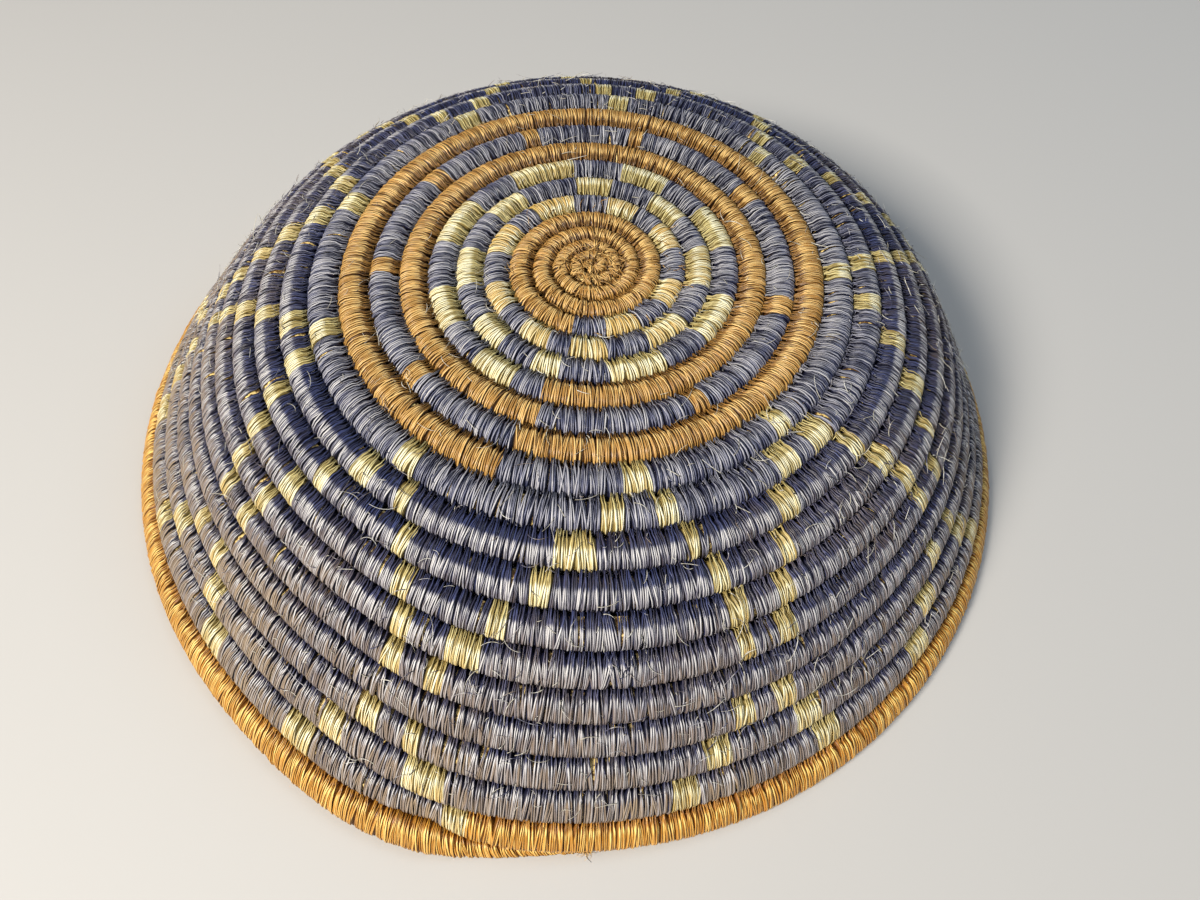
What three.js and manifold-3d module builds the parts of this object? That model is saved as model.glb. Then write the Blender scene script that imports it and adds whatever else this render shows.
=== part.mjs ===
// Coiled bowl basket, resting upside down on its rim. Millimetres, +Z up, with the rim's resting face
// at Z = 0 and the origin in the middle under the bowl. One bundle of grass winds outward in a single
// spiral, from the middle of the base to the rim, and a sewn wrap covers it round by round.

import * as THREE from "three";
import { mergeVertices } from "three/addons/utils/BufferGeometryUtils.js";
import Module from "manifold-3d";

// Bowl profile, followed by the line where neighbouring rounds touch
const BASE_RADIUS = 68; // flat base
const SHOULDER_RADIUS = 61.5; // bend from base to wall
const WALL_SLOPE = 56; // degrees that the wall falls below level

// Made by hand, so not quite true: the bowl leans, and its rim bulges beside the tail
const LEAN = 6.2; // degrees off upright
const LEAN_DIRECTION = 44; // degrees round the bowl, where the base leans to
const BULGE = 5; // at the rim, fading out up the wall
const BULGE_ANGLE = -107; // degrees round the bowl
const BULGE_SPAN = 16; // degrees to either side

// Rounds of the coil, counted from the middle
const CENTRE_ROUNDS = 4;
const CHECKER_ROUNDS = 3;
const WALL_ROUNDS = 10;

// Coil: its width grows from the middle to the rim
const HEART_RADIUS = 0.3; // left open at the very middle
const START_WIDTH = 2.8; // at the middle
const DISC_WIDTH = 7.9; // at the edge of the centre rounds
const RIM_WIDTH = 11.4; // at the rim
const TAIL_WIDTH = 3.2; // where the coil runs out
const COIL_FLATNESS = 0.95; // height over width
const START_ANGLE = -100; // degrees, the line where each round starts

// The wall's rounds lie level and step down to the next round in a short stretch, in turns
const STEP_SPAN = 0.12; // length of the step
const STEP_END = 0.06; // how far past the start line the step ends

// Wrap, rim seat and clearances
const WRAP_THICKNESS = 0.8; // strands sewn round the grass
const SEAT_DEPTH = 1.2; // pressed flat under the rim
const SEAT_SKIN = 0.3; // wrap left between that flat and the grass
const CORE_CLEARANCE = 0.3; // grass to wrap
const ROUND_GAP = 0.3; // one round to the next, side by side
const END_GAP = 0.3; // one round to the next, end to end

// Steps of the sweep in one turn: few in the centre rounds, and twice as many further out
const CENTRE_STEPS = 12;
const OUTER_SPLIT = 2;
const KNOT_SIDES = 10;

const CHECKER_START = CENTRE_ROUNDS;
const RINGS_START = CHECKER_START + CHECKER_ROUNDS;
const RING_NAMES = ["inner_ring", "fleck_ring", "outer_ring"];
const WALL_START = RINGS_START + RING_NAMES.length;
const RIM_START = WALL_START + WALL_ROUNDS;
const RIM_WRAP_THICKNESS = SEAT_DEPTH + SEAT_SKIN;
const OUTER_STEPS = CENTRE_STEPS * OUTER_SPLIT;

const { smoothstep, mapLinear, lerp, degToRad, euclideanModulo } = THREE.MathUtils;
const FULL_TURN = 2 * Math.PI;
const HALF_TURN_DEGREES = 180;
const RIM_MIDDLE = RIM_START + 0.5; // half way round the rim

const finish = (color, roughness) => new THREE.MeshStandardMaterial({ color, roughness, metalness: 0 });
const BROWN = finish(0x8f6238, 0.6);
const INDIGO = finish(0x4a505e, 0.55);
const CREAM = finish(0xd8c694, 0.6);
const TAN = finish(0xb98d4e, 0.55);
const GRASS = finish(0xc9b277, 0.75);

// Width of a round that ends after this many turns of an even spiral
function coilWidth(turn) {
  if (turn < CENTRE_ROUNDS) return mapLinear(turn, -1, CENTRE_ROUNDS, START_WIDTH, DISC_WIDTH);
  return mapLinear(turn, CENTRE_ROUNDS, RIM_START, DISC_WIDTH, RIM_WIDTH);
}

// Length along the profile, from the axis to the outer edge of an even spiral
function reach(turn) {
  const centreTurn = Math.min(turn, CENTRE_ROUNDS);
  const wallTurn = Math.max(turn, CENTRE_ROUNDS);
  const centre = ((centreTurn + 1) * (START_WIDTH + coilWidth(centreTurn))) / 2;
  const wall = ((wallTurn - CENTRE_ROUNDS) * (DISC_WIDTH + coilWidth(wallTurn))) / 2;
  return HEART_RADIUS + centre + wall;
}

// The coil's outer edge after a number of turns: an even spiral on the base, which gathers into one
// short step a turn up the wall and stays level at the rim, so that the last round tapers to a tail
function edgeLength(turn) {
  const counted = turn - STEP_END;
  const whole = Math.floor(counted);
  const part = counted - whole;
  const level = smoothstep(counted, WALL_START, RIM_START - 1);
  const step = smoothstep(part, 1 - STEP_SPAN, 1);
  return reach(Math.min(whole + (1 - level) * (part + STEP_END) + level * step, RIM_START));
}

// Degrees round the bowl, from the line where each round starts
const degreesAt = (turn) => START_ANGLE + 2 * HALF_TURN_DEGREES * turn;

// How far the bulge pushes the profile out, at a length along it and at an angle round the bowl
function swell(length, degrees) {
  const past = degrees - BULGE_ANGLE + HALF_TURN_DEGREES;
  const away = euclideanModulo(past, 2 * HALF_TURN_DEGREES) - HALF_TURN_DEGREES;
  return BULGE * smoothstep(length, BASE_RADIUS, reach(RIM_START)) * Math.exp(-((away / BULGE_SPAN) ** 2));
}

// Point of the profile, as radius and height over the base line: flat, then an arc, then straight
function profilePoint(length, degrees) {
  if (length < BASE_RADIUS) return new THREE.Vector2(length, 0);
  const slope = degToRad(WALL_SLOPE);
  const bend = Math.min((length - BASE_RADIUS) / SHOULDER_RADIUS, slope);
  const straight = length - BASE_RADIUS - bend * SHOULDER_RADIUS;
  const radius = BASE_RADIUS + SHOULDER_RADIUS * Math.sin(bend) + straight * Math.cos(bend);
  return new THREE.Vector2(
    radius + swell(length, degrees),
    -SHOULDER_RADIUS * (1 - Math.cos(bend)) - straight * Math.sin(bend),
  );
}

// Point of the leaning bowl, from its radius and height at an angle
function bowlPoint(radius, height, degrees) {
  const angle = degToRad(degrees);
  const lean = degToRad(LEAN_DIRECTION);
  const shift = height * Math.tan(degToRad(LEAN));
  return new THREE.Vector3(
    radius * Math.cos(angle) + shift * Math.cos(lean),
    radius * Math.sin(angle) + shift * Math.sin(lean),
    height,
  );
}

// Cross-section of the coil in the plane through the axis. The rounds of the base are lifted so
// that all their crests lie level.
function coilSection(turn) {
  const inner = profilePoint(edgeLength(turn - 1), degreesAt(turn));
  const outer = profilePoint(edgeLength(turn), degreesAt(turn));
  const across = outer.clone().sub(inner);
  const halfWidth = (across.length() - ROUND_GAP) / 2;
  const halfHeight = COIL_FLATNESS * halfWidth;
  across.normalize();
  const out = new THREE.Vector2(-across.y, across.x);
  const middle = inner.add(outer).multiplyScalar(0.5);
  if (turn < WALL_START) middle.addScaledVector(out, coilSection(WALL_START).halfHeight - halfHeight);
  return { middle, across, out, halfWidth, halfHeight };
}

// Strands are thickest at the rim, and thin where the coil itself is thin
function wrapThickness(turn) {
  const full = lerp(WRAP_THICKNESS, RIM_WRAP_THICKNESS, smoothstep(turn, RIM_START - 1, RIM_START));
  return Math.min(full, (coilSection(turn).halfHeight - CORE_CLEARANCE) / 2);
}

// Six corners of the section, drawn in by a depth below the coil's surface
function ring(turn, depth) {
  const { middle, across, out, halfWidth, halfHeight } = coilSection(turn);
  const scale = 1 - depth / halfHeight;
  const corners = [[1, 0], [0.5, 1], [-0.5, 1], [-1, 0], [-0.5, -1], [0.5, -1]];
  return corners.map(([side, rise]) => {
    const point = middle.clone();
    point.addScaledVector(across, side * halfWidth * scale);
    point.addScaledVector(out, rise * halfHeight * scale);
    return bowlPoint(point.x, point.y, degreesAt(turn));
  });
}
const surfaceRing = (turn) => ring(turn, 0);
const boreRing = (turn) => ring(turn, wrapThickness(turn));
const coreRing = (turn) => ring(turn, wrapThickness(turn) + CORE_CLEARANCE);

// Turns at which the sweep has a ring, on the same radial lines in every round
function stations(from, to) {
  const turns = [from];
  for (let step = Math.floor(from * OUTER_STEPS) + 1; step < to * OUTER_STEPS; step += 1) {
    const turn = step / OUTER_STEPS;
    if (turn >= CENTRE_ROUNDS || step % OUTER_SPLIT === 0) turns.push(turn);
  }
  turns.push(to);
  return turns;
}

// Closed tube through rings of corners, with a bore where inner rings are given
function sweep(outerRings, innerRings) {
  const sides = outerRings[0].length;
  const last = outerRings.length - 1;
  const points = [...outerRings.flat(), ...(innerRings ?? []).flat()];
  const bore = outerRings.length * sides;
  const index = [];
  const quad = (a, b, c, d) => index.push(a, b, c, a, c, d);
  for (let side = 0; side < sides; side += 1) {
    const next = (side + 1) % sides;
    for (let at = 0; at < last * sides; at += sides) {
      quad(at + side, at + sides + side, at + sides + next, at + next);
      const hole = bore + at;
      if (innerRings) quad(hole + next, hole + sides + next, hole + sides + side, hole + side);
    }
    const end = last * sides;
    if (innerRings) {
      quad(side, next, bore + next, bore + side);
      quad(end + next, end + side, bore + end + side, bore + end + next);
    } else if (side > 0 && next > 0) {
      index.push(0, side, next, end, end + next, end + side);
    }
  }
  const geometry = new THREE.BufferGeometry().setFromPoints(points);
  geometry.setIndex(index);
  geometry.computeVertexNormals();
  return geometry;
}

const wasm = await Module();
wasm.setup();

function solidOf(geometry) {
  const vertProperties = new Float32Array(geometry.attributes.position.array);
  const triVerts = new Uint32Array(geometry.index.array);
  return new wasm.Manifold(new wasm.Mesh({ numProp: 3, vertProperties, triVerts }));
}

function geometryOf(solid) {
  const { vertProperties, triVerts } = solid.getMesh();
  const geometry = new THREE.BufferGeometry();
  geometry.setAttribute("position", new THREE.BufferAttribute(vertProperties, 3));
  geometry.setIndex(new THREE.BufferAttribute(triVerts, 1));
  geometry.computeVertexNormals();
  return geometry;
}

// The tail ends where the last round has thinned to its end width
function findTailEnd() {
  let full = RIM_MIDDLE;
  let gone = RIM_START + 1 + STEP_END;
  for (let halving = 0; halving < 40; halving += 1) {
    const turn = (full + gone) / 2;
    if (edgeLength(turn) - edgeLength(turn - 1) > TAIL_WIDTH) full = turn;
    else gone = turn;
  }
  return full;
}
const TAIL_END = findTailEnd();

// Height of the flat under the rim, from the lowest corner of the rim round
const rimCorners = stations(RIM_START, TAIL_END).flatMap(surfaceRing);
const SEAT_LEVEL = Math.min(...rimCorners.map((corner) => corner.z)) + SEAT_DEPTH;

// Turns taken by a gap of this length at the middle of the coil
const turnsOf = (length, turn) => length / (FULL_TURN * coilSection(turn).middle.x);

// Sleeve of one round of wrap, clear of the rounds before and after it along the coil
function wrapRound(start) {
  const from = start === 0 ? 0 : start + turnsOf(END_GAP / 2, start);
  const to = start === RIM_START ? TAIL_END : start + 1 - turnsOf(END_GAP / 2, start + 1);
  const turns = stations(from, to);
  return sweep(turns.map(surfaceRing), turns.map(boreRing));
}

// The rim round is pressed flat where the basket rests on it
function rimRound() {
  const span = 4 * coilSection(RIM_MIDDLE).middle.x;
  const table = new THREE.BoxGeometry(span, span, RIM_WIDTH);
  table.deleteAttribute("normal").deleteAttribute("uv");
  table.translate(0, 0, SEAT_LEVEL - RIM_WIDTH / 2);
  return geometryOf(solidOf(wrapRound(RIM_START)).subtract(solidOf(mergeVertices(table))));
}

// Least distance between points of the grass core on neighbouring turns
function leastCoreGap(turns) {
  let least = Infinity;
  for (const turn of turns.filter((turn) => turn + 1 < TAIL_END)) {
    const outside = coreRing(turn + 1);
    for (const corner of coreRing(turn)) {
      for (const other of outside) least = Math.min(least, corner.distanceTo(other));
    }
  }
  return least;
}

const basket = new THREE.Group();

function addPiece(name, geometry, material) {
  const mesh = new THREE.Mesh(geometry, material);
  mesh.name = name;
  basket.add(mesh);
  return mesh;
}

const coreTurns = stations(0, TAIL_END);
addPiece("grass_core", sweep(coreTurns.map(coreRing)), GRASS);
console.log(`least gap between turns of the grass core: ${leastCoreGap(coreTurns).toFixed(2)} mm`);

for (let round = 0; round < CENTRE_ROUNDS; round += 1) {
  addPiece(`centre_round_${round + 1}`, wrapRound(round), BROWN);
}
for (let round = 0; round < CHECKER_ROUNDS; round += 1) {
  addPiece(`checker_round_${round + 1}`, wrapRound(CHECKER_START + round), CREAM);
}
RING_NAMES.forEach((name, round) => {
  addPiece(name, wrapRound(RINGS_START + round), name === "fleck_ring" ? INDIGO : BROWN);
});
for (let round = 0; round < WALL_ROUNDS; round += 1) {
  const number = String(round + 1).padStart(2, "0");
  addPiece(`wall_round_${number}`, wrapRound(WALL_START + round), INDIGO);
}
addPiece("rim_round", rimRound(), TAN);

// Knot of the last strand, at the tip of the tail
const KNOT_RADIUS = TAIL_WIDTH / 2 - 2 * ROUND_GAP;
const knotTurn = TAIL_END + turnsOf(END_GAP + KNOT_RADIUS, TAIL_END);
const tailRadius = coilSection(TAIL_END).middle.x;
const knotBall = new THREE.SphereGeometry(KNOT_RADIUS, KNOT_SIDES, KNOT_SIDES / 2);
const knotPlace = bowlPoint(tailRadius, SEAT_LEVEL + KNOT_RADIUS, degreesAt(knotTurn));
addPiece("finishing_knot", knotBall, TAN).position.copy(knotPlace);

// The origin goes to the middle of the bowl's box, on the resting face
const middle = new THREE.Box3().setFromObject(basket).getCenter(new THREE.Vector3());
basket.position.set(-middle.x, -middle.y, -SEAT_LEVEL);
console.log(`origin taken at ${middle.x.toFixed(2)}, ${middle.y.toFixed(2)}, ${SEAT_LEVEL.toFixed(2)} mm`);

export default basket;
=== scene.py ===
# %% [markdown]
# # A coiled wall basket
# The basket is one long rope of dry grass, wound in a spiral and sewn to itself
# with dyed sisal strands. The frame holds one plain sleeve for each round of the
# coil. This lesson dresses every sleeve with its separate strands, so that light
# catches them one by one, as it does on the real basket.

# %% Load the frame
import math

import bmesh
import bpy
import numpy as np
from mathutils import Matrix, Vector


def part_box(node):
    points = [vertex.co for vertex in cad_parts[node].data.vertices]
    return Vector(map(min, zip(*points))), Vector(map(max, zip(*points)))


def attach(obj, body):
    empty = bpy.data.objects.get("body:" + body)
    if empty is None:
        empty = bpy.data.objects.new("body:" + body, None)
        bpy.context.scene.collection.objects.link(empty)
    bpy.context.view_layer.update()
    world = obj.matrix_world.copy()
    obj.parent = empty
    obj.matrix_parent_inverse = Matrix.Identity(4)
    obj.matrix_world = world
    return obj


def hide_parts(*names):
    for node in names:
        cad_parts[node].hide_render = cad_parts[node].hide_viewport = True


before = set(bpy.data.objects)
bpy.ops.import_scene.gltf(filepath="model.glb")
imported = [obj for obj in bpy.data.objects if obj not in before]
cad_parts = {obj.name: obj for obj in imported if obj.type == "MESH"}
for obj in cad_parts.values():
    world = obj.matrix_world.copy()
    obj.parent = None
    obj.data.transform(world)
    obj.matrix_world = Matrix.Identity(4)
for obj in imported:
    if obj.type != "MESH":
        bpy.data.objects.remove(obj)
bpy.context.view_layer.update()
scene = bpy.context.scene
MM = 0.001
print("solids in the frame:", len(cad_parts))

# %% [markdown]
# ## Camera
# The photograph looks steeply down on the upturned bowl, from close by. A camera
# could be aimed with a Track To constraint, but a measured place and three turns
# keep its small roll as well: first level, then tipped down, then rolled.

# %% Camera
CAMERA_PLACE = Vector((5.94, -184.49, 279.54))
LOOK_DOWN, LOOK_ASIDE, CAMERA_ROLL = 58.79, 1.63, 3.49

camera = bpy.data.objects.new("camera", bpy.data.cameras.new("camera"))
camera.data.lens = 27
camera.data.clip_start = 0.01
camera.matrix_world = (
    Matrix.Translation(CAMERA_PLACE * MM)
    @ Matrix.Rotation(math.radians(-LOOK_ASIDE), 4, "Z")
    @ Matrix.Rotation(math.radians(90 - LOOK_DOWN), 4, "X")
    @ Matrix.Rotation(math.radians(CAMERA_ROLL), 4, "Z")
)
scene.collection.objects.link(camera)
scene.camera = camera
print("camera above the table, mm:", round(CAMERA_PLACE.z))

# %% [markdown]
# ## The run of the coil
# Everything on the basket follows one spiral, so its place is worked out once, from
# the same sizes as the solids. A place on the coil is a number of turns from the
# centre. The rounds grow wider outwards, the floor of the bowl is flat, a shoulder
# bends into the sloping wall, and the last rounds lie level, each with a short step
# up to the next. All sizes are in millimetres.

# %% Sizes of the bowl
BASE_RADIUS, SHOULDER_RADIUS, WALL_SLOPE = 68, 61.5, math.radians(56)
LEAN, LEAN_DIRECTION = math.tan(math.radians(6.2)), math.radians(44)
BULGE, BULGE_ANGLE, BULGE_SPAN = 5, -107, 16
CHECKER_START, WALL_START, RIM_START, TAIL_END, TAIL_TIP = 4, 10, 20, 21.018, 21.04
HEART_RADIUS, START_WIDTH, DISC_WIDTH, RIM_WIDTH = 0.3, 2.8, 7.9, 11.4
COIL_FLATNESS, ROUND_GAP, START_ANGLE = 0.95, 0.3, -100
STEP_SPAN, STEP_END, BRAID_HALF, BRAID_LIFT = 0.12, 0.06, 1.15, 0.8
TAIL_START, TAIL_TAPER = 19.9905, 0.027
ORIGIN = np.array((-5.16, -5.55, -70.66))


def ease(value, low, high):
    part = np.clip((value - low) / (high - low), 0, 1)
    return part * part * (3 - 2 * part)


def coil_width(turn):
    inner = START_WIDTH + (turn + 1) / (CHECKER_START + 1) * (DISC_WIDTH - START_WIDTH)
    outer = DISC_WIDTH + (turn - CHECKER_START) / (RIM_START - CHECKER_START) * (
        RIM_WIDTH - DISC_WIDTH
    )
    return np.where(turn < CHECKER_START, inner, outer)


def reach(turn):
    disc, rest = np.minimum(turn, CHECKER_START), np.maximum(turn, CHECKER_START)
    return (
        HEART_RADIUS
        + (disc + 1) * (START_WIDTH + coil_width(disc)) / 2
        + (rest - CHECKER_START) * (DISC_WIDTH + coil_width(rest)) / 2
    )


print("coil runs out along the bowl, mm:", round(float(reach(RIM_START)), 1))


# %% [markdown]
# The edge between two rounds comes first, as a length measured outwards along the
# bowl. The profile then bends that length into a radius and a height, and a section
# of the coil sits between two such edges.

# %% Sections of the coil
def edge_length(turn):
    count = np.floor(turn - STEP_END)
    part = turn - STEP_END - count
    level = ease(turn - STEP_END, WALL_START, RIM_START - 1)
    step = ease(part, 1 - STEP_SPAN, 1)
    wound = count + (1 - level) * (part + STEP_END) + level * step
    over_tail = RIM_START - np.exp(-np.maximum(turn - TAIL_START, 0) / TAIL_TAPER)
    return reach(np.where(turn > RIM_START - 0.1, over_tail, wound))


def degrees_at(turn):
    return START_ANGLE + 360 * turn


def profile(length, degrees):
    bend = np.clip((length - BASE_RADIUS) / SHOULDER_RADIUS, 0, WALL_SLOPE)
    straight = np.maximum(length - BASE_RADIUS - bend * SHOULDER_RADIUS, 0)
    away = (degrees - BULGE_ANGLE + 180) % 360 - 180
    beside_tail = np.exp(-((away / BULGE_SPAN) ** 2))
    swell = BULGE * ease(length, BASE_RADIUS, reach(RIM_START)) * beside_tail
    radius = np.minimum(length, BASE_RADIUS) + SHOULDER_RADIUS * np.sin(bend)
    height = -SHOULDER_RADIUS * (1 - np.cos(bend)) - straight * np.sin(bend)
    return np.stack([radius + straight * np.cos(bend) + swell, height], -1)


def plain_section(turn):
    inner = profile(edge_length(turn - 1), degrees_at(turn))
    outer = profile(edge_length(turn), degrees_at(turn))
    span = np.linalg.norm(outer - inner, axis=-1)
    across = (outer - inner) / span[..., None]
    out = np.stack([-across[..., 1], across[..., 0]], -1)
    half = (span - ROUND_GAP) / 2
    braid = np.where(turn > RIM_START, np.maximum(BRAID_HALF - half, 0), 0)
    middle = (inner + outer) / 2 + braid[..., None] * across
    lowest = ORIGIN[2] + BRAID_LIFT * np.where(braid > 0, BRAID_HALF, 0)
    middle[..., 1] = np.maximum(middle[..., 1], lowest)
    return middle, across, out, half + braid


rim_half = float(plain_section(np.array([20.5]))[3][0])
print("width of the rim's coil, mm:", round(2 * rim_half, 1))

# %% [markdown]
# A section becomes a place in the frame in two moves. The round is drawn about the
# middle of its section, and the whole bowl is then leaned over a little, as the real
# one has settled. Strands that would sink into the table could be cut off level, but
# they are pressed softly instead, so that they do not all end in one plane.

# %% Places on the coil
TABLE_GAP, SOFT_HEIGHT, PRESS_RATE = 0.1, 0.6, 2
CREST = COIL_FLATNESS * float(plain_section(np.array([1.0 * WALL_START]))[3][0])


def bowl_place(point, degrees):
    """Metres in the frame, for a radius and a height in the bowl before it leans."""
    angle, lean = np.radians(degrees), LEAN * point[..., 1]
    x = point[..., 0] * np.cos(angle) + lean * math.cos(LEAN_DIRECTION)
    y = point[..., 0] * np.sin(angle) + lean * math.sin(LEAN_DIRECTION)
    place = np.stack([x, y, point[..., 1]], -1) - ORIGIN
    height = place[..., 2]
    give = np.exp(np.minimum(height - SOFT_HEIGHT, 0) * PRESS_RATE)
    pressed = TABLE_GAP + (SOFT_HEIGHT - TABLE_GAP) * give
    place[..., 2] = np.where(height < SOFT_HEIGHT, pressed, height)
    return place * MM


def coil_place(turn, u, v, proud):
    """A point of the section: u to the next round, v outwards, proud of the sleeve in mm."""
    middle, across, out, half = plain_section(turn)
    tall = COIL_FLATNESS * half
    lift = np.where(turn < WALL_START, CREST - tall, 0)
    sideways = (u * (half + proud))[..., None] * across
    upwards = (v * (tall + proud) + lift)[..., None] * out
    return bowl_place(middle + sideways + upwards, degrees_at(turn))


def coil_radius(turn):
    return plain_section(turn)[0][..., 0]


lengths = 2 * math.pi * coil_radius(np.linspace(0, TAIL_END, 4000)) * TAIL_END / 4000
print("length of the rope of grass, m:", round(float(lengths.sum()) * MM, 2))

# %% [markdown]
# ## One strand
# Each stitch is a single strand of sisal that goes once round the grass. It could be
# a curve with a bevel, but thousands of curves are slow, so it is one small closed
# ring: a circle of three corners, spun once round with its flat side out, as a ribbon
# of sisal lies. Three corners are enough, because smooth shading rounds them. The
# ring gets a UV map across and along the strand, for its fine streaks. It lies round
# the Y axis and is bent to its place later.

# %% The strand ring
RING_RADIUS, RING_STEPS = 10, 10


def recount(value, near):
    return near + (value - near + 0.5) % 1 - 0.5


ring = bmesh.new()
flat_out = (
    Matrix.Translation((0, 0, RING_RADIUS))
    @ Matrix.Rotation(math.pi / 2, 4, "Y")
    @ Matrix.Rotation(-math.pi / 2, 4, "Z")
)
bmesh.ops.create_circle(ring, segments=3, radius=1 / math.sqrt(3), matrix=flat_out)
bmesh.ops.spin(
    ring,
    geom=ring.verts[:] + ring.edges[:],
    axis=(0, 1, 0),
    angle=2 * math.pi,
    steps=RING_STEPS,
    use_merge=True,
)
bmesh.ops.remove_doubles(ring, verts=ring.verts, dist=0.01)
bmesh.ops.recalc_face_normals(ring, faces=ring.faces)
strand_uv = ring.loops.layers.uv.new("strand")
for face in ring.faces:
    face.smooth = True
    middle = face.calc_center_median()
    near = math.atan2(middle.x, middle.z) / (2 * math.pi)
    for loop in face.loops:
        round_the_coil = math.atan2(loop.vert.co.x, loop.vert.co.z) / (2 * math.pi)
        loop[strand_uv].uv = (loop.vert.co.y + 0.5, recount(round_the_coil, near))
strand_ring = bpy.data.meshes.new("strand_ring")
ring.to_mesh(strand_ring)
ring.free()
print("faces in one strand:", len(strand_ring.polygons))

# %% [markdown]
# ## Many copies of one shape
# An Array modifier repeats a shape in order, so copy number nine owns the ninth run of vertices.
# Its result becomes a plain mesh, and each vertex is then moved to its place with NumPy, which
# is far quicker than moving objects. Two numbers for each copy, its tint and how faded it is, go
# into attributes that the materials read; how faded it is also places a painted highlight band.

# %% Copies
rng = np.random.default_rng(27)


def copies(name, unit, count):
    """A new object of count copies, and the corners of one copy."""
    row = bpy.data.objects.new(name, unit)
    scene.collection.objects.link(row)
    array = row.modifiers.new("row", "ARRAY")
    array.use_relative_offset = False
    array.count = count
    graph = bpy.context.evaluated_depsgraph_get()
    mesh = bpy.data.meshes.new_from_object(row.evaluated_get(graph))
    row.modifiers.clear()
    row.data = mesh
    mesh.name = name
    corners = np.empty(len(unit.vertices) * 3)
    unit.vertices.foreach_get("co", corners)
    return row, corners.reshape(-1, 3)


def settle(row, places, tint, fade_and_sheen):
    """Moves every vertex to its place and gives each copy its tint and how faded it is, which
    also places the painted sheen.
    """
    mesh = row.data
    mesh.vertices.foreach_set("co", places.reshape(-1))
    for name, values in (("tint", tint), ("fade_and_sheen", fade_and_sheen)):
        layer = mesh.attributes.new(name, "FLOAT", "POINT")
        layer.data.foreach_set("value", np.repeat(values, len(mesh.vertices) // len(values)))
    mesh.update()
    return row


print("corners in one strand:", len(strand_ring.vertices))

# %% [markdown]
# ## Laying strands
# A stitch is a few fine fibres side by side over a bed, whose darker tint is painted shade for
# the gaps between stitches. The fibres spread out on the crest of the round, where they show,
# and draw together where the stitch passes between two rounds, so the bed shows there. At the
# inner edge the stitch bites into the round before, which makes the row of small teeth along
# every groove. Hand work is never even, so each stitch has its own slant and each fibre its own
# place and width.
# Particles could scatter the strands, but only a place worked out for each keeps them in order.
# On the base, the strands at the two sides are a little paler, a painted sheen where their
# fibres catch the light.

# %% Strands on the coil
RING_BENDS = np.radians((-4, 22, 48, 76, 112, 180, 248, 285, 308, 332))
SPREAD = np.array((1, 1, 0.97, 0.75, 0.8, 1, 0.8, 0.5, 0.74, 0.95))
BITE_STEP, BITE_IN, BITE_UP = 7, 0.26, 0.22
CREST_SINK, BED_SINK, BED_SHADE_TINT = 0.1, 0.3, -0.5
LIT_SIDE, SIDE_SHEEN = 190, 0.22
FIRST_TURN, SMALLEST_RADIUS, BRAID_START = -0.8, 1.2, 20.97


def lay_strands(name, turns, aside, widths, slants, bed, fade_and_sheen):
    """Fibres by their stitch's turn, place aside and width in mm, slant, bed or not, and how
    faded each is, which also places the painted sheen.
    """
    row, corners = copies(name, strand_ring, len(turns))
    columns = (part[:, None] for part in (turns, aside, widths, slants, bed))
    turns, aside, widths, slants, bed = columns
    way_round = np.arctan2(corners[:, 0], corners[:, 2]) / (2 * math.pi)
    step = np.rint(way_round * RING_STEPS).astype(int)
    around, spread = RING_BENDS[step % RING_STEPS], SPREAD[step % RING_STEPS]
    rise = np.hypot(corners[:, 0], corners[:, 2]) - RING_RADIUS

    def scatter(size):
        return rng.normal(0, size, turns.shape)

    bite = (step % RING_STEPS == BITE_STEP) * (1 - bed) * (1 - ease(turns, BRAID_START, 20.99))
    # A lower power makes the section squarer, as it is on the wall and at the heart.
    square = 0.88 - 0.14 * ease(turns, 10, 15) - 0.25 * (1 - ease(turns, 0, 2.5))
    sine, cosine = np.sin(around), np.cos(around)
    u = np.sign(sine) * np.abs(sine) ** square - bite * (BITE_IN + scatter(0.07))
    v = np.sign(cosine) * np.abs(cosine) ** square + bite * (BITE_UP + scatter(0.08))
    across = (aside + corners[:, 1] * widths) * np.where(bed > 0, 1, spread)
    shift = across + (slants + scatter(0.25) * (1 - bed)) * u + scatter(0.06)
    turn = turns + shift / (2 * math.pi * np.maximum(coil_radius(turns), SMALLEST_RADIUS))
    # Wide strands stand a little higher, and beds lie lower.
    proud = rise * (0.15 + 0.7 * np.minimum(widths, 0.6)) - CREST_SINK
    proud = proud - BED_SINK * bed + scatter(0.09) * (1 - bed)
    places = coil_place(np.clip(turn, FIRST_TURN, TAIL_TIP), u, v + 0 * turn, proud)
    under = bed[:, 0]
    # A higher tint on the left and right of the upper rounds is a painted sheen from the lamps.
    sides = np.cos(2 * np.pi * turns[:, 0] + np.radians(START_ANGLE - LIT_SIDE)) ** 2
    tint = rng.random(len(turns)) + SIDE_SHEEN * sides * (1 - ease(turns[:, 0], 11, 13))
    # Beds take a low tint, painted shade in the gaps between stitches.
    return settle(row, places, tint * (1 - under) + BED_SHADE_TINT * under, fade_and_sheen * (1 - under))


print("bends in one strand:", len(RING_BENDS))

# %% [markdown]
# ## The pattern
# The sewer changes colour by changing strands. The centre is brown, then three rounds
# of checks, a blue ring with brown flecks between two brown rings, and a blue wall
# with a cream zigzag. Each leg of the zigzag moves over by about a block a round,
# less and less towards its low point. The places of the peaks and low points are
# in degrees round the basket, and the blocks in millimetres.

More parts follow.
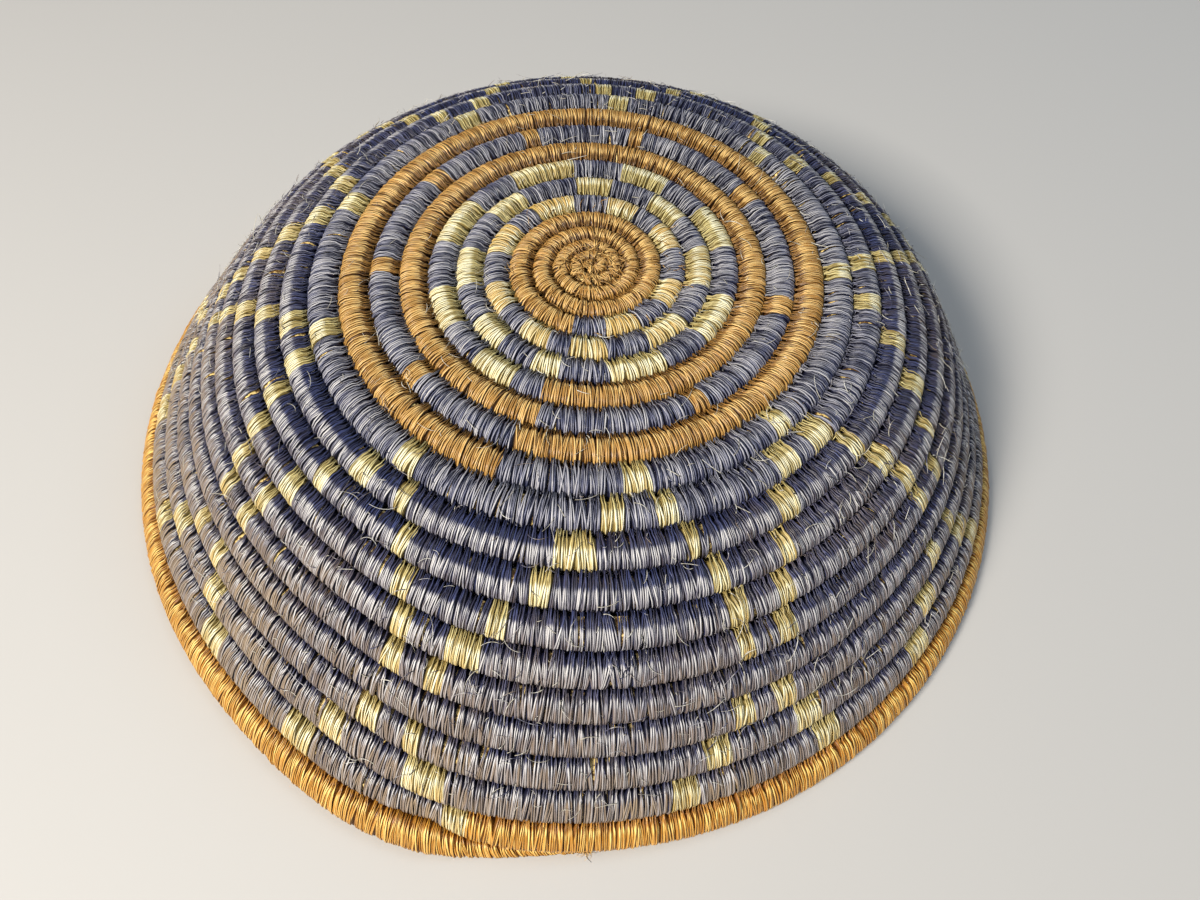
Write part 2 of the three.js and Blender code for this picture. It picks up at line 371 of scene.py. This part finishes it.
# %% Blocks of the zigzag
PEAKS = (-79.1, -45.7, 1.2, 44, 84.3, 123.8, 162.7, 199.9, 235.5, 280.9)
LOW_POINTS = (-63.9, -29, 16.6, 61, 101.5, 141.5, 179.7, 215.5, 250.85)
LEG_BLOCKS = (6.2, 6.6, 5.2, 5.2, 5.2, 5.0, 6.0)
FOOT_BLOCKS = ((-1.1, 2.9, 5.4), (-1.65, 6.0, 8.0), (-2.2, 9.3, 8.8))
LONG_BLOCKS = {
    (6, "left", 1): 6.5,
    (8, "right", 2): 10.6,
    (8, "right", 5): 9.2,
    (8, "right", 8): 12.6,
}
LEG_STEPS, FOOT_ROUND, FOOT_HALF = 5, 7, 3
LAST_BLOCK = (19.9936, 20.0026)

blocks = []


def add_block(turn, size):
    half = size / (4 * math.pi * float(coil_radius(np.array([turn]))[0]))
    blocks.append((turn - half, turn + half))


def turn_at(round_start, degrees):
    return round_start + ((degrees - START_ANGLE) % 360) / 360


for number, low in enumerate(LOW_POINTS):
    legs = (
        ("left", PEAKS[number], low - FOOT_HALF),
        ("right", PEAKS[number + 1], low + FOOT_HALF),
    )
    for side, peak, foot in legs:
        longest_leg = number == len(LOW_POINTS) - 1 and side == "right"
        steps = LEG_STEPS + 1 if longest_leg else LEG_STEPS
        slowing = 2.1 - 0.028 * abs(foot - peak)
        for step in range(0 if side == "left" else 1, steps + 1):
            sweep = (foot - peak) * (1 - (1 - step / steps) ** slowing)
            size = LONG_BLOCKS.get((number, side, step), LEG_BLOCKS[step])
            place = turn_at(WALL_START, peak) + step + sweep / 360
            add_block(place, size * rng.uniform(0.85, 1.15))
        for step, (drift, away, size) in enumerate(FOOT_BLOCKS):
            sweep = drift + (-away if side == "left" else away)
            place = turn_at(WALL_START + FOOT_ROUND + step, low) + sweep / 360
            size = size * rng.uniform(0.9, 1.1)
            size = LONG_BLOCKS.get((number, side, FOOT_ROUND + step), size)
            add_block(place, size)
blocks.sort()
blocks[-1] = LAST_BLOCK
print("cream blocks on the wall:", len(blocks))

# %% [markdown]
# On the real basket the colour of a stitch depends only on how far along the coil it is.
# A painted mask could say the same, but a function of the turn is sharp at every edge.

# %% The dye at any place
BROWN_RINGS = ((6.986, 7.992), (8.98, 9.98))
CHECKER_END, FLECK_ROUND, CHECK_DRIFT = 7, 8, 1.5
FLECKS = (
    *((-58, 6), (-13, 6.5), (34, 7), (77.6, 4.5)),
    *((111, 5.5), (146, 6), (183.3, 4.3), (222.4, 5.2)),
)
CHECK_EDGES = (
    *(-80, -58, -37.5, -12, 14, 38, 58.5, 80, 101.5),
    *(128, 149, 173, 195, 215, 230.5, 246, 258),
)


def dye_at(turn):
    if turn < CHECKER_START or any(low <= turn < high for low, high in BROWN_RINGS):
        return "brown"
    if turn < CHECKER_END:
        degrees = degrees_at(turn % 1) + CHECK_DRIFT * (int(turn) - 5)
        check = sum(edge < degrees for edge in CHECK_EDGES)
        return "cream" if (int(turn) + check) % 2 else "indigo"
    if turn < FLECK_ROUND + 1:
        fleck = any(abs(turn - turn_at(FLECK_ROUND, at)) < wide / 720 for at, wide in FLECKS)
        return "brown" if fleck else "indigo"
    if any(low < turn < high for low, high in blocks):
        return "cream"
    return "indigo" if turn < blocks[-1][1] else "tan"


print("dye on the shoulder:", dye_at(10.5))

# %% [markdown]
# ## Shader maths as Python
# The finishes below mix several signals over each strand. They could be wired by hand
# in the shader editor, but node trees grow long, so this small class wraps a socket.
# Adding or multiplying two of them makes the Math node and its links, and one method
# makes every other node.


# %% Fibre signals
class Signal:
    """A socket of a node tree that works in sums, as a number does."""

    def __init__(self, socket):
        self.socket = socket
        self.tree = socket.id_data

    def make(self, kind, settings, inputs, output=0):
        node = self.tree.nodes.new(kind)
        for name, value in settings.items():
            setattr(node, name, value)
        for key, value in inputs.items():
            if isinstance(value, Signal):
                self.tree.links.new(value.socket, node.inputs[key])
            else:
                node.inputs[key].default_value = value
        return Signal(node.outputs[output])

    def math(self, operation, first, second):
        return self.make("ShaderNodeMath", {"operation": operation}, {0: first, 1: second})

    def __add__(self, other):
        return self.math("ADD", self, other)

    def __sub__(self, other):
        return self.math("SUBTRACT", self, other)

    def __rsub__(self, other):
        return self.math("SUBTRACT", other, self)

    def __mul__(self, other):
        return self.math("MULTIPLY", self, other)

    __radd__ = __add__
    __rmul__ = __mul__

    def between(self, low, high):
        settings = {"interpolation_type": "SMOOTHSTEP"}
        return self.make("ShaderNodeMapRange", settings, {0: self, 1: low, 2: high})

    def blend(self, first, second):
        inputs = {0: self, 6: first, 7: second}
        return self.make("ShaderNodeMix", {"data_type": "RGBA"}, inputs, 2)

    def noise(self, vector, scale, detail):
        inputs = {"Vector": vector, "Scale": scale, "Detail": detail}
        return self.make("ShaderNodeTexNoise", {"noise_dimensions": "3D"}, inputs)


ready = [name for name in ("add", "sub", "mul") if hasattr(Signal, f"__{name}__")]
print("operators ready:", ready)

# %% [markdown]
# ## Dyed sisal
# A strand is a bundle of shiny leaf fibres. The dye takes unevenly: some fibres stay
# pale, and each is a little lighter or darker than its neighbour. A photograph wrapped
# on so many small rings would smear, so all of this comes from each strand's own UV
# map and its two attributes. Colours are written as a picture shows them, from 0 to
# 255, and this helper turns them into the linear values that a shader works with.


# %% Colours
def colour(*srgb):
    """A colour from 0 to 255, as a picture shows it, in a shader's linear values."""
    parts = [part / 255 for part in srgb]
    linear = [
        part / 12.92 if part < 0.04045 else ((part + 0.055) / 1.055) ** 2.4 for part in parts
    ]
    return (*linear, 1)


print("middle grey, linear:", round(colour(128)[0], 3))

# %% [markdown]
# Four things make the look of a strand. Noise stretched along it gives streaks. Its edges are
# darker, a painted shade so that every fibre looks round. A painted highlight band of pale
# fibres lies on the crest of the round, with painted shade on the inner side above it, and moves
# towards the inner edge as a strand fades. Handling wears the dye off the outer side, most of
# all near the rim, and that paler outer side is partly painted warm bounce from the table.


# %% Strand finish
def strand_finish(name, deep, body, pale, worn_and_bounce, roughness):
    material = bpy.data.materials.new(name)
    material.use_nodes = True
    shader = material.node_tree.nodes["Principled BSDF"]
    start = Signal(shader.outputs[0])
    strand = start.make("ShaderNodeUVMap", {"uv_map": "strand"}, {})
    tint = start.make("ShaderNodeAttribute", {"attribute_name": "tint"}, {}, 2)
    fade_and_sheen = start.make("ShaderNodeAttribute", {"attribute_name": "fade_and_sheen"}, {}, 2)
    place = start.make("ShaderNodeTexCoord", {}, {}, "Object")
    split = start.make("ShaderNodeSeparateXYZ", {}, {0: strand})
    along = Signal(split.socket.node.outputs[1])
    fibre_place = start.make(
        "ShaderNodeCombineXYZ", {}, {0: split * 2.5 + tint * 91, 1: along * 5, 2: tint * 57}
    )
    streak = start.noise(fibre_place, 1, 2).between(0.38, 0.62)
    patches = start.noise(place, 38, 2).between(0.42, 0.75)
    # Darker fibre edges are painted shade between neighbouring fibres; the same profile also
    # rounds the bump.
    edge = 4 * (split - 0.5) * (split - 0.5)
    thread_round_and_shade = 1 - edge.between(0.3, 1)

    # The painted highlight band rises at the crest and falls off on the outer side; the inner
    # side above it is left in painted shade.
    # How faded a strand is also moves the painted highlight band towards the inner edge.
    seat = along + 0.26 * fade_and_sheen
    rise, fall = seat.between(-0.03, 0.09), seat.between(0.09, 0.2)

    # The dye, with painted shade on the inner side and at the fibre edges, and how far wear has
    # taken it off; on the outer side that wear is partly painted warm bounce from the table.
    tone = (streak * 0.6 + tint * 0.6 + rise * 0.25 + thread_round_and_shade * 0.35 - 0.5).between(0, 1)
    dye_and_shade = tone.blend(colour(*deep), colour(*body))
    wear_and_bounce = patches * 0.25 * fade_and_sheen.between(0, 0.4) + fade_and_sheen * (0.1 + 0.65 * fall)
    faded = wear_and_bounce.blend(dye_and_shade, colour(*worn_and_bounce))

    # Pale fibres and painted glints: even on fresh strands, gathered in the painted highlight
    # band on faded ones.
    band = rise * (1 - fall * (0.28 + 0.3 * fade_and_sheen))
    sheen = 0.45 + (band * 0.75 - 0.45) * fade_and_sheen.between(0, 0.2)
    pale_and_glint = (sheen * thread_round_and_shade * (tint * 0.85 + streak * 0.5)).between(0.08, 0.7)
    shown = pale_and_glint.blend(faded, colour(*pale))

    links = material.node_tree.links
    links.new(shown.socket, shader.inputs["Base Color"])
    links.new((roughness + 0.12 * streak).socket, shader.inputs["Roughness"])
    relief = {"Height": streak * 0.6 + thread_round_and_shade, "Strength": 0.5, "Distance": 0.0001}
    bump = start.make("ShaderNodeBump", {}, relief)
    links.new(bump.socket, shader.inputs["Normal"])
    shader.inputs["Specular IOR Level"].default_value = 0.7
    return material


finishes = {
    "indigo": strand_finish(
        "indigo_sisal", (16, 18, 44), (56, 68, 118), (208, 205, 204), (156, 134, 107), 0.4
    ),
}
print("nodes in the indigo finish:", len(finishes["indigo"].node_tree.nodes))

# %% [markdown]
# The other dyes take the same finish with other values: a deep tone, the body, the palest fibres
# and painted glints, the colour of wear and painted warm bounce, and the roughness. They could
# be picked from a picture, but the light colours every picture, so they were tried under the
# lamps of this scene until the render looked like the photograph.

# %% Dyes
finishes |= {
    "cream": strand_finish(
        "cream_sisal", (136, 118, 64), (228, 214, 150), (253, 248, 214), (216, 174, 88), 0.4
    ),
    "brown": strand_finish(
        "brown_sisal", (76, 46, 14), (182, 134, 62), (246, 206, 132), (182, 132, 60), 0.38
    ),
    "tan": strand_finish(
        "tan_sisal", (134, 82, 16), (222, 162, 60), (255, 220, 130), (200, 138, 44), 0.4
    ),
    "bleached": strand_finish(
        "bleached_fibre", (160, 154, 138), (216, 212, 198), (244, 242, 234), (206, 198, 176), 0.4
    ),
}
print("strand finishes:", ", ".join(finishes))

# %% [markdown]
# ## The rounds
# On the real basket the strands are laid one by one along the coil, a strand's width
# apart, so longer rounds simply get more. An Array along a curve would space them too
# evenly, so each gap is drawn at random. Here and there on the wall a stitch has no
# bed, and the straw shows through.

# %% Stitches of a round
SPACING = {"indigo": 1.35, "cream": 1.4, "brown": 1.25, "tan": 1.5}
WIDE_GAP, BED_WIDTH, BARE_SHARE, BARE_DRAW = 1.1, 1.4, 0.11, 0.55
SLANT, SLANT_SPREAD, HEART_SPREAD, BRAID_SLANT = 0.2, 0.3, 1.1, 0.8


def stitch_round(first, last):
    """The fibres of a round by dye: turn, place aside, width, slant, and bed or not."""
    laid, turn = {}, first
    while turn < last:
        dye = dye_at(turn)
        gap = SPACING[dye] * rng.uniform(0.65, 1.35) * min(1, 0.5 + 0.2 * turn)
        slant = rng.normal(SLANT, SLANT_SPREAD if turn > 1.6 else HEART_SPREAD)
        slant = slant + BRAID_SLANT * float(ease(turn, BRAID_START, 21.01))
        stitch = laid.setdefault(dye, [])
        bare = turn > WALL_START and dye == "indigo" and rng.random() < BARE_SHARE
        if not bare:
            stitch.append((turn, 0, BED_WIDTH * gap, slant, 1))
        fibres = 3 if gap > WIDE_GAP else 2
        for fibre in range(fibres):
            aside = ((fibre + 0.5) / fibres - 0.5) * gap * (BARE_DRAW if bare else 1)
            aside = aside + rng.normal(0, 0.08)
            stitch.append((turn, aside, gap / fibres * rng.uniform(0.75, 1.3), slant, 0))
        radius = max(float(coil_radius(np.array([turn]))[0]), SMALLEST_RADIUS)
        turn += gap / (2 * math.pi * radius)
    return laid


print("stitches, mm apart:", SPACING)

# %% [markdown]
# Sun and hands have faded the strands unevenly. The blue has gone most towards the rim, and it
# is lighter on the left side where the window lamp falls, which is painted light; the cream has
# yellowed in the middle and towards the rim.
# A texture could hold this, but a number for each strand is enough.


# %% Fading
def even_fade_and_sheen(turns, dye):
    """How faded strands are at these turns, the blue with painted light on its lamp side, before
    each gets its own share.
    """
    if dye == "indigo":
        # The lit side term is painted light from the window lamp; the rest is how the blue fades
        # towards the rim.
        lit_side = np.cos(2 * np.pi * turns + np.radians(START_ANGLE - LIT_SIDE))
        fade_and_sheen = 0.2 * ease(turns, 10.5, 12.5) + (0.6 + 0.14 * lit_side) * ease(turns, 12, 18)
        fade_and_sheen += 0.15 * ease(turns, 18, 19.5)
    elif dye == "cream":
        fade_and_sheen = 0.9 - 0.65 * ease(turns, 4.7, 5.8) + 0.4 * ease(turns, 12, 17)
    else:
        fade_and_sheen = 0.65 + 0.15 * ease(turns, 19, 20)
    return fade_and_sheen


def fade_and_sheen_at(turns, dye):
    return even_fade_and_sheen(turns, dye) * rng.uniform(0.7, 1.2, len(turns))


for dye in ("indigo", "cream"):
    last_fade_and_sheen = even_fade_and_sheen(np.array([19.5]), dye)[0]
    print("fade of", dye, "on the last wall round:", round(float(last_fade_and_sheen), 2))

# %% [markdown]
# Each round of the frame is replaced by the strands of its main colour, and strands of
# any other colour on it make a second piece beside them. One piece for the whole wall
# would be simpler, but separate rounds keep the names of the frame.

# %% Strands for every round
ROUNDS = [f"centre_round_{n}" for n in (1, 2, 3, 4)] + [f"checker_round_{n}" for n in (1, 2, 3)]
ROUNDS += ["inner_ring", "fleck_ring", "outer_ring"]
ROUNDS += [f"wall_round_{n:02d}" for n in range(1, 11)] + ["rim_round"]
HEART_TURN = -0.6

strand_count = 0
for number, round_name in enumerate(ROUNDS):
    first = HEART_TURN if number == 0 else number
    last = TAIL_TIP if round_name == "rim_round" else number + 1
    laid = stitch_round(first, last)
    main = max(laid, key=lambda dye: len(laid[dye]))
    for dye, strands in laid.items():
        strands = np.array(strands)
        piece = lay_strands(f"{round_name}_{dye}", *strands.T, fade_and_sheen_at(strands[:, 0], dye))
        piece.data.materials.append(finishes[dye])
        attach(piece, "root")
        if dye == main:
            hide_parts(round_name)
        strand_count += len(strands)
print("fibres laid:", strand_count)

# %% [markdown]
# ## The grass core
# Under the strands runs the rope of dry grass. It shows only as straw-coloured specks
# where two strands stand apart, so one rope is enough: a straight bar, cut across many
# times and then bent round the coil. An extruded disc would do as well, but its edges
# come out in another order on every run. On the hollow side of the bowl the rope is
# slimmer, because a strand has few bends there and would let it through. It also stays
# clear of the table, so that no straw shows under the rim. Bending mirrors the bar, so
# its sideways axis is turned round first. A volume above zero shows that the faces
# still point outwards.

# %% Grass core
CORE_SIDES, CORE_STEPS, CORE_CLEARANCE = 10, 2400, 1.2
CORE_SINK, HOLLOW_SINK, MOST_SINK = 0.4, 1.2, 0.6


def long_edges(bar):
    return [edge for edge in bar.edges if abs(edge.verts[0].co.z - edge.verts[1].co.z) > 0.5]


rope = bmesh.new()
bmesh.ops.create_cone(rope, cap_ends=True, segments=CORE_SIDES, radius1=1, radius2=1, depth=1)
bmesh.ops.subdivide_edges(rope, edges=long_edges(rope), cuts=CORE_STEPS)
bmesh.ops.recalc_face_normals(rope, faces=rope.faces)
core_mesh = bpy.data.meshes.new("grass_core_rope")
rope.to_mesh(core_mesh)
rope.free()
core = bpy.data.objects.new("grass_core_rope", core_mesh)
scene.collection.objects.link(core)
corners = np.array([vertex.co[:] for vertex in core_mesh.vertices])
core_turns = (corners[:, 2] + 0.5) * (TAIL_END - 0.03) + 0.02
sunk = CORE_SINK + HOLLOW_SINK * np.clip(0.1 - corners[:, 1], 0, 1)
sunk = np.minimum(sunk, MOST_SINK * plain_section(core_turns)[3])
core_places = coil_place(core_turns, -corners[:, 0], corners[:, 1], -sunk)
core_places[:, 2] = np.maximum(core_places[:, 2], CORE_CLEARANCE * MM)
core_mesh.vertices.foreach_set("co", core_places.reshape(-1))
core_mesh.update()
bent = bmesh.new()
bent.from_mesh(core_mesh)
print("faces in the core:", len(bent.faces))
print("volume of the core, cubic cm:", round(bent.calc_volume(signed=True) / (10 * MM) ** 3))
bent.free()

# %% [markdown]
# Dry grass is pale straw with darker joints and shadows between the stems. Single stems
# would hardly be seen, so fine noise in Object coordinates stands for them.


# %% Grass finish
def grass_finish():
    material = bpy.data.materials.new("dry_grass")
    material.use_nodes = True
    shader = material.node_tree.nodes["Principled BSDF"]
    start = Signal(shader.outputs[0])
    place = start.make("ShaderNodeTexCoord", {}, {}, "Object")
    straws = start.noise(place, 900, 2)
    shown = straws.between(0.45, 0.58).blend(colour(120, 88, 44), colour(250, 220, 142))
    material.node_tree.links.new(shown.socket, shader.inputs["Base Color"])
    material.node_tree.links.new((0.45 + 0.3 * straws).socket, shader.inputs["Roughness"])
    return material


core_mesh.materials.append(grass_finish())
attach(core, "root")
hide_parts("grass_core")
print("finish of the core:", core_mesh.materials[0].name)

# %% [markdown]
# ## Loose fibres
# Sisal is hairy: fine ends work loose and stand off the surface, and they give the
# real basket its soft outline. A hair system would not survive the export, so the
# fibres are thin cones of three sides, bent along short curved paths over the bowl.

# %% The fibre
FIBRE_CUTS = 5
cone = bmesh.new()
bmesh.ops.create_cone(cone, cap_ends=True, segments=3, radius1=0.5, radius2=0.2, depth=1)
bmesh.ops.subdivide_edges(cone, edges=long_edges(cone), cuts=FIBRE_CUTS)
bmesh.ops.recalc_face_normals(cone, faces=cone.faces)
fibre_uv = cone.loops.layers.uv.new("strand")
for face in cone.faces:
    face.smooth = True
    for loop in face.loops:
        loop[fibre_uv].uv = (loop.vert.co.x + 0.5, loop.vert.co.z)
fibre_unit = bpy.data.meshes.new("fibre")
cone.to_mesh(fibre_unit)
cone.free()
print("faces in one fibre:", len(fibre_unit.polygons))

# %% [markdown]
# The loose ends start just under the crests, run over the bowl in any direction and
# lift towards their tips. Blue ones lie on the wall, bleached ones from the checks to
# the rim, and brown ones in the middle. In the heart of the coil, thicker ends lie
# criss-cross over the first turns. A row of the table below gives their name, number,
# slot and finish, where they start along the bowl, their greatest length, how far they
# stand up and how thick they are.

# %% Fibres over the bowl
WALL_GROWTH = 0.012


def skin_place(length, degrees, lift):
    """A point above the crests of the rounds."""
    here, beyond = profile(length - 0.5, degrees), profile(length + 0.5, degrees)
    across = (beyond - here) / np.linalg.norm(beyond - here, axis=-1)[..., None]
    out = np.stack([-across[..., 1], across[..., 0]], -1)
    crest = CREST + WALL_GROWTH * np.clip(length - 76, 0, 100)
    return bowl_place((here + beyond) / 2 + out * (crest + lift)[..., None], degrees)


def lay_fibres(name, count, slot, finish, nearest, furthest, longest, stand, thickness):
    row, corners = copies(name, fibre_unit, count)
    along = corners[:, 2] + 0.5

    def each(low, high):
        return rng.uniform(low, high, (count, 1))

    start = np.sqrt(each(nearest**2, furthest**2))
    degrees, heading, curl = each(0, 360), each(0, 2 * math.pi), each(-0.9, 0.9)
    size = longest * each(0.2, 1) ** 1.6
    course = heading + curl * along
    length = start + size * along * np.cos(course) + corners[:, 0] * thickness
    radius = profile(start, degrees)[..., 0]
    sideways = size * along * np.sin(course) + corners[:, 1] * thickness
    lift = -0.35 + each(0.1, 1) ** 3 * stand * along**1.5 * size * 0.5 + 0.5 * along
    lift = lift + corners[:, 1] * thickness
    farthest = float(reach(RIM_START)) + 3
    around = degrees + np.degrees(sideways / radius)
    places = skin_place(np.clip(length, 1, farthest), around, lift)
    piece = settle(row, places, rng.random(count), rng.random(count))
    piece.data.materials.append(finishes[finish])
    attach(piece, "root")
    print(name, count)


LOOSE_ENDS = (
    ("loose_fibres_indigo", 900, "indigo", "indigo", 75, 162, 8, 0.7, 0.24),
    ("loose_fibres_bleached", 1100, "cream", "bleached", 26, 164, 7, 0.9, 0.24),
    ("loose_fibres_brown", 160, "brown", "brown", 8, 28, 6, 0.5, 0.24),
    ("heart_fibres", 120, "brown", "brown", 1, 9, 7, 0.1, 0.42),
)
for ends in LOOSE_ENDS:
    lay_fibres(*ends)

# %% [markdown]
# ## The tail's knot
# The rope of grass thins to a tail under the start of the rim, and its last strand
# is knotted there. The knot is a few turns of strand pulled tight, with frayed ends,
# so it is made from the same ring and the same fibre.

# %% Knot
KNOT_TURNS, KNOT_SPIN, KNOT_TILT = 5, 0.65, 0.5
low_corner, high_corner = (np.array(corner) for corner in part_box("finishing_knot"))
knot_middle, knot_size = (low_corner + high_corner) / 2, (high_corner - low_corner) / 2
row, corners = copies("finishing_knot_turns", strand_ring, KNOT_TURNS)
turned = []
for number in range(KNOT_TURNS):
    spin = Matrix.Rotation(KNOT_SPIN * number, 3, "Z")
    tilt = spin @ Matrix.Rotation(KNOT_TILT * (number - 2), 3, "X")
    size = (0.078 + 0.012 * rng.random()) * np.array((1, 0.9, 1))
    turned.append((corners * size) @ np.array(tilt).T * knot_size + knot_middle)
knot = settle(row, np.array(turned), rng.random(KNOT_TURNS), np.zeros(KNOT_TURNS))
knot.data.materials.append(finishes["tan"])
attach(knot, "root")
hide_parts("finishing_knot")
print("knot across, mm:", np.round(2 * knot_size / MM, 1))

# %% [markdown]
# Past the knot the strand is cut, and its end frays into single fibres. They use the
# same cone, fanned out from the tip, and none goes below the table.

# %% Frayed tip
FRAY_COUNT, FRAY_WIDTH = 46, 0.22 * MM
row, corners = copies("tail_fray", fibre_unit, FRAY_COUNT)
along = corners[:, 2] + 0.5
tip_turns, centred = np.full(FRAY_COUNT, TAIL_TIP - 0.002), np.zeros(FRAY_COUNT)
tip = coil_place(tip_turns, centred, centred, centred)
heading = rng.normal(0, 1.1, FRAY_COUNT)[:, None]
heading = heading + rng.uniform(-1.5, 1.5, (FRAY_COUNT, 1)) * along
climb = rng.uniform(-0.5, 0.9, (FRAY_COUNT, 1))
size = rng.uniform(1.5, 4.5, (FRAY_COUNT, 1)) * MM
east = size * along * np.cos(heading) + corners[:, 0] * FRAY_WIDTH
north = size * along * np.sin(heading) * 0.6 - 0.3 * size * along
north = north + corners[:, 1] * FRAY_WIDTH
up = size * along * climb + corners[:, 0] * 0.1 * MM
places = tip[:, None, :] + np.stack([east, north, up], -1)
places[..., 2] = np.maximum(places[..., 2], TABLE_GAP * MM)
fray = settle(row, places, rng.random(FRAY_COUNT), np.zeros(FRAY_COUNT))
fray.data.materials.append(finishes["tan"])
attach(fray, "root")
print("frayed fibres:", FRAY_COUNT)

# %% [markdown]
# ## Floor and light
# A plain pale floor shows the basket's own shadow. It could be a curved backdrop, but
# a flat sheet is enough, because the camera looks down on it.


# %% Floor
def plain_floor():
    sheet = bmesh.new()
    bmesh.ops.create_grid(sheet, x_segments=1, y_segments=1, size=3)
    mesh = bpy.data.meshes.new("floor")
    sheet.to_mesh(mesh)
    sheet.free()
    floor = bpy.data.objects.new("floor", mesh)
    scene.collection.objects.link(floor)
    paint = bpy.data.materials.new("floor_paint")
    paint.use_nodes = True
    shader = paint.node_tree.nodes["Principled BSDF"]
    shader.inputs["Base Color"].default_value = (0.5, 0.49, 0.475, 1)
    shader.inputs["Roughness"].default_value = 0.7
    mesh.materials.append(paint)
    return floor


print("floor:", plain_floor().name)

# %% [markdown]
# Soft lamps show the form without colouring it. The main lamp stands to the left of the
# camera, where the window of the photograph must be, so the front of the bowl is bright
# and its far side falls off. A cooler, weaker lamp and a dim room fill the shadows.


# %% Lamps
def soft_lamp(name, place, size, power, tone):
    lamp = bpy.data.objects.new(name, bpy.data.lights.new(name, "AREA"))
    lamp.data.size = size
    lamp.data.energy = power
    lamp.data.color = tone
    lamp.location = place
    lamp.rotation_euler = (-Vector(place)).to_track_quat("-Z", "Y").to_euler()
    scene.collection.objects.link(lamp)


soft_lamp("window", (-0.78, -0.72, 1.0), 0.4, 32, (1, 0.94, 0.85))
soft_lamp("fill", (0.7, 0.3, 1.2), 0.9, 7, (0.78, 0.89, 1))
world = bpy.data.worlds.new("room")
world.use_nodes = True
world.node_tree.nodes["Background"].inputs["Color"].default_value = (0.82, 0.89, 1, 1)
world.node_tree.nodes["Background"].inputs["Strength"].default_value = 0.14
scene.world = world
scene.view_settings.view_transform = "Standard"
